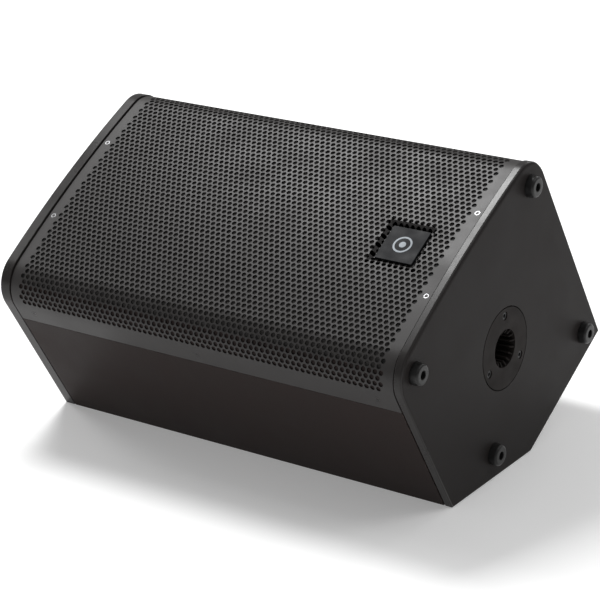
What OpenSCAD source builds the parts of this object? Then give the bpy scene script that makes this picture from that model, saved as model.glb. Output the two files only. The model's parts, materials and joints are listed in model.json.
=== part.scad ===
// Two-way powered stage monitor, lying on its monitor face.
// The cabinet is drawn in its own frame and tilted once, at the end:
// X along its length (+X is the end with the pole socket), Y across the front from the lower
// side, Z out of the front. Lengths are millimetres.

/* [Cabinet] */
// Length from end face to end face
cab_l = 613.2; // [600:0.1:620]
// Width across the front
cab_w = 370; // [366:1:376]
// Depth from the chord of the front to the back
cab_d = 339; // [334:1:346]
// Length of the monitor face that the cabinet rests on
floor_l = 189; // [184:1:194]
// Angle between the back and the monitor face
tilt = 30; // [28:0.5:32]
// Rise of the bowed front over its chord
bow = 10.4; // [8:0.2:13]
// Radius of the two long front corners
corner_r = 42.5; // [40:0.5:45]
// Thickness of the side, back and floor boards
board = 15; // [14:0.5:16]
// Thickness of the front baffle
baffle_t = 18; // [16:1:19]
// Distance from the chord of the front back to the baffle
baffle_in = 25; // [24:0.5:26]

/* [Ends] */
// Part of an end panel that the boards close on
end_rebate = 5.7; // [5:0.1:6]
// Part of the bottom end panel that stands outside the boards
end_lip = 11.3; // [11:0.1:12]
// The same part of the top end panel, which is thicker
top_lip = 16.5; // [15:0.1:17]
// Height of both end panels over the grille
proud = 2.4; // [1.5:0.1:3]
// Depth of the round-over along the front edge
end_round = 9; // [8:0.5:10]
// Width of that round-over
end_edge = 4.5; // [4:0.5:6]
// Groove between an end board and its neighbours
seam = 1.6; // [1:0.1:2.5]

/* [Grille] */
// Thickness of the steel sheet
grille_t = 1.2; // [1:0.1:1.5]
// Height of the side flanges below the chord of the front
flange_h = 64; // [58:1:70]
// Side of the square pocket that holds the badge
pocket_w = 66; // [62:1:72]
// Depth of that pocket
pocket_h = 5.5; // [4:0.5:7]
// Side of the square badge
badge_w = 52.5; // [48:0.5:57]
// Thickness of the badge
badge_t = 2.6; // [2:0.2:4]
// Distance from the middle of the cabinet to the badge
badge_x = 215; // [208:1:222]

/* [Pole socket] */
// Radius of the smooth collar that holds the pole
pole_r = 18; // [17.7:0.05:18.2]
// Length of that collar
collar_l = 34; // [28:1:40]
// Diameter of the socket's flange
cup_flange_d = 104.5; // [100:0.5:108]
// Depth of the socket below the end face
cup_depth = 88; // [80:1:90]
// Number of ribs in the mouth
rib_count = 16; // [12:1:18]

/* [Feet] */
// Height of a rubber foot
foot_h = 11; // [9:0.5:13]
// Diameter of a rubber foot at its base
foot_d = 28.5; // [26:0.5:31]

/* [Woofer] */
// Outer radius of the basket
woofer_r = 155; // [153:0.5:156]
// Distance from the middle of the cabinet to the woofer
woofer_x = 112; // [110:1:113]
// Inner radius of the voice coil's former
coil_r = 31.2; // [31:0.05:31.3]

/* [Horn] */
// Distance from the middle of the cabinet to the horn
horn_x = -155; // [-158:1:-152]
// Depth of the horn behind the baffle's front
horn_h = 100; // [90:1:105]
// Radius of the throat
throat_r = 18; // [16:0.5:19]

/* [Amplifier] */
// Length of the amplifier panel's rim
amp_l = 330; // [326:1:336]
// Width of the amplifier panel's rim
amp_w = 166; // [164:1:168]
// Depth of the recess that keeps the controls below the back
tray_h = 14; // [13:0.5:15]

/* [Handle] */
// Length of the hand hole
handle_l = 168; // [160:1:176]
// Height of the hand hole
handle_w = 92; // [88:1:96]
// Depth of the hand hole
handle_in = 48; // [44:1:50]

/* [Hidden] */
$fn = 64;

black = "#1c1b1b";
dark_grey = "#2f2f31";
rubber = "#151515";
steel = "#b9bbbd";
zinc = "#8d9093";
ply = "#b48a5a";
foam_grey = "#3a3a3c";
ferrite = "#3b3b3d";
alloy = "#a4a7aa";
brass = "#b5a67a";
board_green = "#1f5136";

lip_x = (cab_l - end_lip - top_lip) / 2;   // where the grooves start
half = lip_x + end_lip;                    // outer face of the bottom end panel
board_x = lip_x - seam;                    // where the boards and the grille end
inner_x = lip_x - end_rebate;              // inner face of an end panel
side_h = cab_d - floor_l * sin(tilt);      // depth of the lower side
front_y = -floor_l / 2 - side_h * sin(tilt);
front_z = side_h * cos(tilt);
under_grille = grille_t + 0.4;             // rebate that the grille's flanges lie in
fit = 0.05;                                // radial clearance of a running fit
gap = 0.3;                                 // clearance between bodies that pass each other

// The front is one shallow arc with a smaller arc at each corner, all tangent
corner_steps = 10;
bow_steps = 24;
front_n = 2 * corner_steps + bow_steps;
bow_r = pow(cab_w / 2, 2) / (2 * bow) + bow / 2;
bow_c = [cab_w / 2, bow - bow_r];
corner_z = bow_c.y + sqrt(pow(bow_r - corner_r, 2) - pow(cab_w / 2 - corner_r, 2));
bend_a = atan2(corner_z - bow_c.y, corner_r - cab_w / 2);

// Places across the front and behind it, as [across, out]
mid = cab_w / 2;
pole_at = [189, -164];
feet_at = [[33, -26], [cab_w - 33, -28], [cab_w - 33, -305], [100, -264]];
end_screw_at = 67;                         // grille screws on each end, from the middle
side_screw_z = -47.4;                      // grille screws on each side
side_screw_x = [-263, 0, 263];
port_at = [52, cab_w - 52];
brace_x = -94;
handle_x = 20;
handle_z = -170;
amp_y = (floor_l * cos(tilt) + cab_w) / 2;

function turn(c, r, a) = c + r * [cos(a), sin(a)];
function arc(c, r, a0, a1, n) = [for (i = [0 : n]) turn(c, r, a0 + (a1 - a0) * i / n)];
function round_rect(w, h, r) = concat(
    arc([w / 2 - r, h / 2 - r], r, 0, 90, 6), arc([r - w / 2, h / 2 - r], r, 90, 180, 6),
    arc([r - w / 2, r - h / 2], r, 180, 270, 6), arc([w / 2 - r, r - h / 2], r, 270, 360, 6));
function reverse(list) = [for (i = [len(list) - 1 : -1 : 0]) list[i]];

// Point i of the front curve, moved in by t
function front_point(i, t) =
    i <= corner_steps
        ? turn([corner_r, corner_z], corner_r - t, 180 + (bend_a - 180) * i / corner_steps)
    : i <= corner_steps + bow_steps
        ? turn(bow_c, bow_r - t, bend_a + (180 - 2 * bend_a) * (i - corner_steps) / bow_steps)
        : turn([cab_w - corner_r, corner_z], corner_r - t, (180 - bend_a) * (front_n - i) / corner_steps);
function front_curve(t) = [for (i = [0 : front_n]) front_point(i, t)];

// The three rear corners of the section, moved in by t: back upper, back lower, side lower
function rear_point(i, t) =
    i == 0 ? [cab_w - t, t - cab_d]
    : i == 1 ? [floor_l * cos(tilt) + t * (1 - cos(tilt)) / sin(tilt), t - cab_d]
             : [t, t * (1 - sin(tilt)) / cos(tilt) - side_h];
function rear_points(t) = [for (i = [0 : 2]) rear_point(i, t)];

// ---- frames ----
module in_cabinet() translate([0, front_y, front_z]) rotate([tilt, 0, 0]) children();
module along_x(x0, x1) translate([x0, 0, 0]) rotate([90, 0, 90]) linear_extrude(x1 - x0) children();
module on_baffle(x, y) translate([x, y, -baffle_in]) children();
module on_end(at) translate([half, at.x, at.y]) rotate([0, 90, 0]) children();
module on_upper_side(x, z) translate([x, cab_w, z]) rotate([-90, 0, 0]) children();
module on_lower_side(x, z) translate([x, 0, z]) rotate([90, 0, 0]) children();
module on_back() translate([0, amp_y, -cab_d]) rotate([180, 0, 0]) children();
module both_ends() { children(); mirror([1, 0, 0]) children(); }

// ---- shared shapes ----
module slab(w, h, r, z0, z1) translate([0, 0, z0]) linear_extrude(z1 - z0) polygon(round_rect(w, h, r));
module block(at, size) translate([at.x - size.x / 2, at.y - size.y / 2, at.z]) cube(size);
module ring(r_out, r_in, z0, z1) translate([0, 0, z0]) difference() {
    cylinder(r = r_out, h = z1 - z0);
    translate([0, 0, -1]) cylinder(r = r_in, h = z1 - z0 + 2);
}
// A countersunk screw whose head is flush with z = 0
module flush_screw(head_r, shank_r, l) difference() {
    union() {
        translate([0, 0, -head_r * 0.6]) cylinder(r1 = shank_r, r2 = head_r, h = head_r * 0.6);
        translate([0, 0, -l]) cylinder(r = shank_r, h = l - head_r * 0.6 + 0.01);
    }
    translate([0, 0, -head_r * 0.35]) cylinder(r = head_r * 0.5, h = head_r, $fn = 6);
}
module flush_hole(head_r, shank_r, l) {
    translate([0, 0, -head_r * 0.6 - fit])
        cylinder(r1 = shank_r + fit, r2 = head_r + fit, h = head_r * 0.6 + fit);
    cylinder(r = head_r + fit, h = 2);
    translate([0, 0, -l - 1]) cylinder(r = shank_r + fit, h = l + 1);
}
// A pan-head screw whose head rests on z = 0
module pan_screw(head_r, head_h, shank_r, l) difference() {
    union() {
        cylinder(r1 = head_r, r2 = head_r * 0.8, h = head_h);
        translate([0, 0, -l]) cylinder(r = shank_r, h = l + 0.01);
    }
    translate([0, 0, head_h * 0.4]) cylinder(r = head_r * 0.45, h = head_h, $fn = 6);
}

// ---- cabinet boards ----
side_rebate_z = -flange_h - 0.8;
// Front end of a side board: it follows the bend of the grille, up to the board's thickness
function side_nose() = arc([corner_r, corner_z], corner_r - under_grille, 180, 133, 6);

module side_section(foot) polygon(concat(
    [[0, side_rebate_z], [under_grille, side_rebate_z]], side_nose(), [[board, -baffle_in + 14]], foot));
module side_board_lower() color(black) in_cabinet() difference() {
    along_x(-board_x, board_x) side_section([rear_point(2, board), [0, -side_h]]);
    for (x = side_screw_x) on_lower_side(x, side_screw_z) flush_hole(3.7, 1.8, 13);
}
module side_board_upper() color(black) in_cabinet() difference() {
    translate([0, cab_w, 0]) mirror([0, 1, 0]) along_x(-board_x, board_x)
        side_section([[board, board - cab_d], [0, -cab_d]]);
    for (x = side_screw_x) on_upper_side(x, side_screw_z) flush_hole(3.7, 1.8, 13);
    on_upper_side(handle_x, handle_z) {
        slab(handle_l + 8, handle_w + 8, 22, -board - 1, 1);
        slab(handle_l + 35, handle_w + 31, 16, -3, 1);
        for (x = [-1, 1], y = [-1, 1])
            translate([x * (handle_l / 2 + 9.5), y * (handle_w / 2 + 7), -12])
                cylinder(r = 1.8 + fit, h = 12);
    }
}
module floor_board() color(black) in_cabinet() along_x(-board_x, board_x)
    polygon([[0, -side_h], rear_point(2, board), rear_point(1, board), rear_point(1, 0)]);
module back_board() color(black) in_cabinet() difference() {
    along_x(-board_x, board_x)
        polygon([rear_point(1, 0), rear_point(1, board), rear_point(0, board), rear_point(0, 0)]);
    on_back() {
        slab(amp_l - 24, amp_w - 24, 8, -board - 1, 1);
        slab(amp_l + 1, amp_w + 1, 10.5, -2.5, 1);
        for (at = amp_screw_at) translate([at.x, at.y, -14]) cylinder(r = 1.8 + fit, h = 15);
    }
}
module baffle_board() color(black) in_cabinet() difference() {
    translate([-inner_x, board, -baffle_in - baffle_t])
        cube([2 * inner_x, cab_w - 2 * board, baffle_t]);
    on_baffle(woofer_x, mid) {
        translate([0, 0, -baffle_t - 1]) cylinder(r = woofer_r - 13, h = baffle_t + 2);
        for (k = [0 : 7]) rotate(22.5 + 45 * k)
            translate([woofer_r - 5.5, 0, -13]) cylinder(r = 2 + fit, h = 14);
    }
    on_baffle(horn_x, mid) {
        slab(168, 184, 30, -baffle_t - 1, 1);
        for (x = [-1, 1], y = [-1, 1]) translate([83 * x, 88 * y, -13]) cylinder(r = 1.8 + fit, h = 14);
    }
    for (y = port_at) on_baffle(horn_x, y)
        translate([0, 0, -baffle_t - 1]) cylinder(r = 29.05, h = baffle_t + 2);
}

// Width of the round-over at rim point i. It runs full along the front, and fades on the sides.
function rim_round(i) =
    i <= corner_steps ? end_round * (0.35 + 0.65 * i / corner_steps)
    : i <= corner_steps + bow_steps ? end_round
    : i <= front_n ? end_round * (0.35 + 0.65 * (front_n - i) / corner_steps)
    : 2.5;
function rim_point(i, t) =
    i <= front_n ? front_point(i, t) + [0, proud] : rear_point(i - front_n - 1, t);

// The outside of an end panel, with its rounded front edge, standing on x = 0
module end_cap(lip) {
    n = front_n + 4;
    steps = 6;
    function width(i) = min(rim_round(i), end_edge);
    points = concat(
        [for (i = [0 : n - 1]) let (p = rim_point(i, 0)) [0, p.x, p.y]],
        [for (j = [0 : steps], i = [0 : n - 1])
            let (a = 90 * j / steps, p = rim_point(i, rim_round(i) * (1 - cos(a))))
            [lip - width(i) * (1 - sin(a)), p.x, p.y]]);
    last = (steps + 1) * n;
    sides = [for (j = [0 : steps], i = [0 : n - 1])
        [j * n + i, j * n + (i + 1) % n, (j + 1) * n + (i + 1) % n, (j + 1) * n + i]];
    polyhedron(points, concat(
        [reverse([for (i = [0 : n - 1]) i])], [[for (i = [0 : n - 1]) last + i]], sides));
}
// An end panel at +X: the cap, and behind it the rebated part that the boards close on
module end_board(lip) union() {
    translate([lip_x, 0, 0]) end_cap(lip);
    along_x(inner_x, lip_x + 0.01) polygon(concat(
        [[board, side_rebate_z]], [[board, corner_z + 15]],
        [for (i = [7 : front_n - 7]) front_point(i, under_grille)],
        [[cab_w - board, corner_z + 15]], rear_points(board)));
}
module end_panel_top() color(black) in_cabinet() mirror([1, 0, 0]) end_board(top_lip);
module end_panel_bottom() color(black) in_cabinet() difference() {
    end_board(end_lip);
    on_end(pole_at) {
        translate([0, 0, -6]) cylinder(d = cup_flange_d + 1.6, h = 7);
        translate([0, 0, -20]) cylinder(r = 30.4, h = 21);
        for (k = [0 : 2]) rotate(socket_screw_a + 120 * k)
            translate([socket_screw_r, 0, -16]) cylinder(r = 2 + fit, h = 16);
    }
    for (at = feet_at) on_end(at) translate([0, 0, -15]) cylinder(r = 2 + fit, h = 16);
}
// Cleats behind both ends of the grille, for its screws
module grille_rails() color(black) in_cabinet() both_ends() difference() {
    along_x(inner_x - 16, inner_x) polygon(concat(
        [[board + 0.5, -baffle_in], [board + 0.5, corner_z + 27]],
        [for (i = [7 : front_n - 7]) front_point(i, under_grille)],
        [[cab_w - board - 0.5, corner_z + 27], [cab_w - board - 0.5, -baffle_in]]));
    for (y = [-1, 1]) end_grille_screw_place(y) flush_hole(3.7, 1.8, 15);
}
module side_brace() color(ply) in_cabinet()
    translate([brace_x, board, -190]) cube([20, cab_w - 2 * board, 40]);
module damping_wadding() color(foam_grey) in_cabinet() along_x(-270, 205) polygon([
    rear_point(2, board + 0.2), [board + 0.2, -195], [board + 18, -195],
    rear_point(2, board + 18), rear_point(1, board + 18) - [14, -8],
    rear_point(1, board + 0.2) - [14, -8]]);

// ---- grille ----
module grille_sheet() along_x(-board_x, board_x) polygon(concat(
    [[0, -flange_h]], front_curve(0), [[cab_w, -flange_h], [cab_w - grille_t, -flange_h]],
    reverse(front_curve(grille_t)), [[grille_t, -flange_h]]));
module grille() color(dark_grey) in_cabinet() difference() {
    union() {
        grille_sheet();
        block([badge_x, mid, bow - pocket_h - grille_t],
            [pocket_w + 2 * grille_t, pocket_w + 2 * grille_t, pocket_h + 0.1]);
    }
    block([badge_x, mid, bow - pocket_h], [pocket_w, pocket_w, 20]);
    for (y = [-1, 1]) both_ends() end_grille_screw_place(y) flush_hole(3.7, 1.8, 15);
    for (x = side_screw_x) {
        on_lower_side(x, side_screw_z) flush_hole(3.7, 1.8, 13);
        on_upper_side(x, side_screw_z) flush_hole(3.7, 1.8, 13);
    }
}
foam_t = 5;
module grille_foam() color(foam_grey) in_cabinet() difference() {
    along_x(16.5 - inner_x, inner_x - 16.5) polygon(concat(
        [for (i = [7 : front_n - 7]) front_point(i, under_grille)],
        reverse([for (i = [7 : front_n - 7]) front_point(i, under_grille + foam_t)])));
    block([badge_x, mid, -20], [pocket_w + 8, pocket_w + 8, 60]);
}
// A grille screw's place on the end border, square to the bowed sheet
module end_grille_screw_place(y) {
    lean = asin(end_screw_at / bow_r);
    translate([lip_x - 8.2, mid + y * end_screw_at, bow_c.y + bow_r * cos(lean)])
        rotate([-y * lean, 0, 0]) children();
}
module grille_screws() color(zinc) in_cabinet() {
    for (y = [-1, 1]) both_ends() end_grille_screw_place(y) flush_screw(3.7, 1.8, 13);
    for (x = side_screw_x) {
        on_lower_side(x, side_screw_z) flush_screw(3.7, 1.8, 12);
        on_upper_side(x, side_screw_z) flush_screw(3.7, 1.8, 12);
    }
}
module badge() color(dark_grey) in_cabinet() translate([badge_x, mid, 0]) {
    face = bow - pocket_h + badge_t;
    slab(badge_w, badge_w, 1.5, bow - pocket_h, face);
    ring(12.5, 10, face - 0.1, face + 0.4);
    translate([0, 0, face - 0.1]) cylinder(r = 4.5, h = 0.5);
}

// ---- feet and pole socket ----
socket_screw_r = 42.5;
socket_screw_a = -90;
cup_mouth_r = 24.5;
rib_t = 2;
cup_floor = 4;
rib_l = cup_depth - cup_floor - collar_l;  // depth of the ribbed mouth
module rubber_feet() color(rubber) in_cabinet() for (at = feet_at) on_end(at) difference() {
    rotate_extrude() polygon(concat([[0, 0], [foot_d / 2, 0]],
        arc([foot_d / 2 - 3.6, foot_h - 3], 3, 8, 90, 6), [[0, foot_h]]));
    translate([0, 0, 4]) cylinder(r = 5.2, h = foot_h);
    translate([0, 0, -1]) cylinder(r = 2.1, h = foot_h);
}
module foot_screws() color(zinc) in_cabinet() for (at = feet_at) on_end(at)
    translate([0, 0, 4]) pan_screw(4.2, 3, 2, 17);
module pole_socket() color(dark_grey) in_cabinet() on_end(pole_at) union() {
    difference() {
        union() {
            translate([0, 0, -6]) cylinder(d = cup_flange_d, h = 6);
            translate([0, 0, -cup_depth]) cylinder(r = 30, h = cup_depth - 5);
        }
        translate([0, 0, cup_floor - cup_depth]) cylinder(r = pole_r, h = cup_depth);
        translate([0, 0, -rib_l]) cylinder(r = cup_mouth_r, h = rib_l + 1);
        for (k = [0 : 2]) rotate(socket_screw_a + 120 * k)
            translate([socket_screw_r, 0, -1.2]) flush_hole(5.4, 2, 5);
    }
    for (k = [0 : rib_count - 1])
        rotate(k * 360 / rib_count) rotate([90, 0, 0]) translate([0, 0, -rib_t / 2])
        linear_extrude(rib_t) polygon([[pole_r + gap, -rib_l - 1], [pole_r + gap, -4],
            [cup_mouth_r - 2, -1.2], [cup_mouth_r + 1, -1.2], [cup_mouth_r + 1, -rib_l - 1]]);
}
module pole_socket_screws() color(zinc) in_cabinet() on_end(pole_at) for (k = [0 : 2])
    rotate(socket_screw_a + 120 * k) translate([socket_screw_r, 0, -1.2]) flush_screw(5.2, 2, 14);

// ---- handle ----
grip_r = 12;
module handle_cup() color(black) in_cabinet() on_upper_side(handle_x, handle_z) difference() {
    union() {
        slab(handle_l + 34, handle_w + 30, 15, -3, 0);
        slab(handle_l + 7, handle_w + 7, 21, -handle_in - 3.5, -2.9);
    }
    slab(handle_l, handle_w, 18, -handle_in, 1);
    for (x = [-1, 1], y = [-1, 1])
        translate([x * (handle_l / 2 + 9.5), y * (handle_w / 2 + 7), 0]) flush_hole(3.4, 1.8, 5);
}
module handle_grip() color(rubber) in_cabinet() on_upper_side(handle_x, handle_z)
    translate([0, 0, -grip_r - 4]) rotate([0, 90, 0]) rotate_extrude() polygon([
        [0, -handle_l / 2], [8, -handle_l / 2], [8, -handle_l / 2 + 9], [grip_r, -handle_l / 2 + 16],
        [grip_r, handle_l / 2 - 16], [8, handle_l / 2 - 9], [8, handle_l / 2], [0, handle_l / 2]]);
module handle_screws() color(zinc) in_cabinet() on_upper_side(handle_x, handle_z)
    for (x = [-1, 1], y = [-1, 1])
        translate([x * (handle_l / 2 + 9.5), y * (handle_w / 2 + 7), 0]) flush_screw(3.4, 1.8, 11);

// ---- woofer, drawn on the baffle with z = 0 at the baffle's front ----
cone_r = 126;
cone_top = 6;
cone_apex = -52;
cap_r = 50;
plate_z = -92;                             // underside of the basket, where the motor starts
plate_t = 8;
magnet_t = 22;
module at_woofer() in_cabinet() on_baffle(woofer_x, mid) children();
module woofer_basket() color(dark_grey) at_woofer() difference() {
    rotate_extrude($fn = 96) polygon([
        [woofer_r, 0], [woofer_r, 6], [139, 6], [136, 0], [84, -76], [70, -76], [70, -86], [44, -86],
        [44, plate_z], [88, plate_z], [woofer_r - 14, -4], [woofer_r - 14, 0]]);
    for (k = [0 : 5]) rotate(60 * k) translate([80, -25, -72]) cube([56, 50, 54]);
    for (k = [0 : 7]) rotate(22.5 + 45 * k)
        translate([woofer_r - 5.5, 0, -1]) cylinder(r = 2.2, h = 8);
}
module woofer_gasket() color(rubber) at_woofer() ring(143.8, 140.3, 7.35, 10);
module woofer_surround() color(rubber) at_woofer() rotate_extrude($fn = 96) polygon(concat(
    [[143.8, 7.3], [143.8, 6.05]], arc([133, 6.05], 6, 0, 180, 12), [[120.5, 6.05], [120.5, 7.2]],
    reverse(arc([133, 6.05], 7.2, 10, 170, 12))));
module woofer_cone() color("#202022") at_woofer() rotate_extrude($fn = 96) polygon([
    [cone_r, cone_top], [cone_r, cone_top - 1.2], [121, cone_top - 1.2], [coil_r + 0.7, cone_apex - 1.4],
    [coil_r + 0.7, cone_apex], [120.5, cone_top]]);
cap_rise = 14;
cap_sphere = (cap_r * cap_r + cap_rise * cap_rise) / (2 * cap_rise);
cap_z = cone_top + (cap_r - 120.5) * (cone_top - cone_apex) / (120.5 - coil_r - 0.7) + 0.2;
cap_a = acos((cap_sphere - cap_rise) / cap_sphere);
module woofer_dust_cap() color("#18181a") at_woofer() rotate_extrude() polygon(concat(
    arc([0, cap_z + cap_rise - cap_sphere], cap_sphere, 90 - cap_a, 90, 10),
    reverse(arc([0, cap_z + cap_rise - cap_sphere], cap_sphere - 1, 90 - cap_a, 90, 10))));
module woofer_voice_coil() color("#b87333") at_woofer() {
    ring(coil_r + 0.65, coil_r, -104, cone_apex + 2);
    ring(coil_r + 1.6, coil_r + 0.65, -104, -88);
}
module woofer_spider() color("#8a6b3a") at_woofer() rotate_extrude() polygon(concat(
    [for (i = [0 : 30]) [coil_r + 1 + i * 1.4, -73 + 1.6 * sin(i * 72)]],
    [[82, -73], [82, -74.2]],
    [for (i = [30 : -1 : 0]) [coil_r + 1 + i * 1.4, -74.2 + 1.6 * sin(i * 72)]]));
module woofer_top_plate() color(steel) at_woofer() ring(62, coil_r + 3, plate_z - plate_t, plate_z);
module woofer_magnet() color(ferrite) at_woofer()
    ring(78, coil_r + 7, plate_z - plate_t - magnet_t, plate_z - plate_t);
module woofer_pole_piece() color(steel) at_woofer() difference() {
    union() {
        translate([0, 0, plate_z - plate_t - magnet_t - 8]) cylinder(r = 74, h = 8);
        translate([0, 0, plate_z - plate_t - magnet_t - 1])
            cylinder(r = coil_r - 0.8, h = plate_t + magnet_t + 3);
    }
    translate([0, 0, -140]) cylinder(r = 9, h = 80);
}
module woofer_screws() color(zinc) at_woofer() for (k = [0 : 7]) rotate(22.5 + 45 * k)
    translate([woofer_r - 5.5, 0, 6]) pan_screw(4, 3, 2, 18);

// ---- horn and its compression driver ----
horn_rings = 10;
horn_sides = 32;
// Half sizes of the horn along the cabinet and across it, from the throat (s = 0) to the mouth
function horn_half(s) = [
    throat_r + (78 - throat_r) * pow(s, 1.7), throat_r + (86 - throat_r) * pow(s, 1.3)];
function horn_point(s, k, t) = let (h = horn_half(s) + [t, t], n = 2 + 4 * s, a = 360 * k / horn_sides,
    r = pow(pow(abs(cos(a)) / h.x, n) + pow(abs(sin(a)) / h.y, n), -1 / n))
    [r * cos(a), r * sin(a), -horn_h * (1 - s)];
module horn_wall() {
    m = horn_sides;
    inner = (horn_rings + 1) * m;
    points = [for (t = [3, 0], j = [0 : horn_rings], k = [0 : m - 1]) horn_point(j / horn_rings, k, t)];
    outside = [for (j = [0 : horn_rings - 1], k = [0 : m - 1])
        [j * m + k, (j + 1) * m + k, (j + 1) * m + (k + 1) % m, j * m + (k + 1) % m]];
    inside = [for (f = outside) [for (i = [3 : -1 : 0]) f[i] + inner]];
    ends = [for (j = [0, horn_rings], k = [0 : m - 1]) let (f = [j * m + k, j * m + (k + 1) % m,
        inner + j * m + (k + 1) % m, inner + j * m + k]) j == 0 ? f : reverse(f)];
    polyhedron(points, concat(outside, inside, ends));
}
module at_horn() in_cabinet() on_baffle(horn_x, mid) children();
module horn() color(black) at_horn() {
    difference() {
        slab(182, 192, 14, 0, 5);
        slab(157.5, 173.5, 30, -1, 6);
        for (x = [-1, 1], y = [-1, 1]) translate([83 * x, 88 * y, 5]) flush_hole(3.4, 1.8, 8);
    }
    horn_wall();
    ring(40, throat_r + 2, -horn_h, 6 - horn_h);
}
module horn_screws() color(zinc) at_horn() for (x = [-1, 1], y = [-1, 1])
    translate([83 * x, 88 * y, 5]) flush_screw(3.4, 1.8, 17);
hf_z = -horn_h;
hf_coil_r = 21.6;
module hf_pole_piece() color(steel) at_horn() translate([0, 0, hf_z]) difference() {
    union() {
        translate([0, 0, -8]) cylinder(r = 50, h = 8);
        translate([0, 0, -34]) cylinder(r = hf_coil_r - 0.9, h = 27);
    }
    translate([0, 0, -36]) cylinder(r1 = 9, r2 = throat_r, h = 37);
}
module hf_magnet() color(ferrite) at_horn() ring(57, 30, hf_z - 26, hf_z - 8);
module hf_top_plate() color(steel) at_horn() ring(52, hf_coil_r + 2, hf_z - 33, hf_z - 26);
module hf_diaphragm() color("#c9c9cf") at_horn() translate([0, 0, hf_z]) rotate_extrude() polygon(concat(
    [[hf_coil_r, -29], [hf_coil_r + 1, -29], [hf_coil_r + 1, -36],
     [32, -36], [32, -36.6], [hf_coil_r + 1, -36.6]],
    arc([0, -28], 24.4, -22, -90, 10), reverse(arc([0, -28], 23.4, -23.2, -90, 10))));
module hf_rear_cover() color(black) at_horn() translate([0, 0, hf_z - 33]) difference() {
    rotate_extrude() polygon([[0, -32], [44, -32], [49, -27], [49, 0], [0, 0]]);
    translate([0, 0, -29]) cylinder(r = 40, h = 30);
}
module port_tubes() color(black) in_cabinet() for (y = port_at) on_baffle(horn_x, y) {
    ring(29, 26, -125, 0.5);
    ring(33, 26, 0, 3);
}

// ---- amplifier, drawn with z = 0 at the back and z out of it ----
tray = [amp_l - 26, amp_w - 26];
floor_z = -tray_h;                         // face of the panel that carries the controls
panel_t = 2.5;
amp_screw_at = [
    for (x = [-amp_l / 2 + 6.5, -55, 55, amp_l / 2 - 6.5], y = [-1, 1]) [x, y * (amp_w / 2 - 6.5)]];
jack_at = [[30, 42], [30, 2]];
output_at = [30, -40];
knob_at = [[74, 42], [74, 2]];
button_at = [[74, -30], [74, -48]];
light_at = [[98, 48], [98, 36], [98, 8], [98, -4]];
inlet_at = [126, -34];
rocker_at = [126, 24];
jack_size = [26, 33];
latch_y = 13.9;
module amp_frame() color(dark_grey) in_cabinet() on_back() difference() {
    union() {
        slab(amp_l, amp_w, 10, -2.5, 0);
        slab(tray.x, tray.y, 7, floor_z, -2.4);
    }
    slab(tray.x - 5, tray.y - 5, 5, floor_z - 1, 1);
    for (at = amp_screw_at) translate([at.x, at.y, 0]) flush_hole(3.4, 1.8, 5);
}
module amp_panel() color(dark_grey) in_cabinet() on_back() difference() {
    slab(tray.x, tray.y, 7, floor_z - panel_t, floor_z);
    for (at = concat(jack_at, [output_at])) translate([at.x, at.y, floor_z - 4]) {
        cylinder(r = 12.1, h = 6);
        block([0, latch_y, 0], [9, 4.4, 6]);
    }
    for (at = knob_at) translate([at.x, at.y, floor_z - 4]) cylinder(r = 3.6, h = 6);
    for (at = button_at) block([at.x, at.y, floor_z - 4], [7.6, 7.6, 6]);
    for (at = light_at) translate([at.x, at.y, floor_z - 4]) cylinder(r = 1.65, h = 6);
    block([inlet_at.x, inlet_at.y, floor_z - 4], [20.4, 27.4, 6]);
    block([rocker_at.x, rocker_at.y, floor_z - 4], [13.4, 19.4, 6]);
}
module amp_heatsink() color(alloy) in_cabinet() on_back() {
    block([-81, 0, floor_z], [128, 126, 3]);
    for (k = [-5 : 5]) block([-81, 11.6 * k, floor_z + 2.9], [128, 2.4, tray_h - 4.4]);
}
module amp_cover() color(zinc) in_cabinet() on_back() translate([0, 0, floor_z - panel_t]) difference() {
    slab(tray.x, tray.y, 7, -60, 0);
    slab(tray.x - 3, tray.y - 3, 5.5, -58.5, 1);
}
module amp_board() color(board_green) in_cabinet() on_back() {
    block([-80, 0, -70], [126, 118, 1.6]);
    for (x = [-115, -85, -55]) translate([x, 28, -68.5]) ring(12, 5, 0, 9);
    for (x = [-125 : 18 : -35], y = [-42, -24]) translate([x, y, -68.5]) cylinder(r = 6, h = 22);
    block([-80, 0, -68.5], [110, 14, 51.9]);
}
module power_board() color(board_green) in_cabinet() on_back() {
    block([75, 0, -70], [136, 118, 1.6]);
    block([48, 24, -68.5], [38, 34, 22]);
    for (y = [-44, -20]) translate([105, y, -68.5]) cylinder(r = 10, h = 20);
    block([106, 24, -68.5], [26, 20, 16]);
}
module amp_screws() color(zinc) in_cabinet() on_back()
    for (at = amp_screw_at) translate([at.x, at.y, 0]) flush_screw(3.4, 1.8, 13);
// The small countersunk screws of the handle, the horn and the amplifier
module countersunk_screws() {
    handle_screws();
    horn_screws();
    amp_screws();
}

module on_panel(at) in_cabinet() on_back() translate([at.x, at.y, floor_z]) children();
module jack_shell() difference() {
    union() {
        slab(jack_size.x, jack_size.y, 3, 0, 2);
        translate([0, 0, -26]) cylinder(r = 11.9, h = 27);
    }
    block([0, latch_y, -1], [8.6, 3.6, 4]);
}
module input_jacks() color(black) for (at = jack_at) on_panel(at) difference() {
    jack_shell();
    ring(9.7, 8.3, -10, 3);
    translate([0, 0, -22]) cylinder(r = 3.3, h = 26);
    for (a = [90, 210, 330]) rotate(a) translate([5.8, 0, -8]) cylinder(r = 1.2, h = 12);
}
module latch_tab(at) color(zinc) on_panel(at) block([0, latch_y, -6], [8, 3, 10]);
module input_latch_1() latch_tab(jack_at[0]);
module input_latch_2() latch_tab(jack_at[1]);
module output_jack() color(black) on_panel(output_at) difference() {
    jack_shell();
    translate([0, 0, -15]) cylinder(r = 9.6, h = 20);
}
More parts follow.
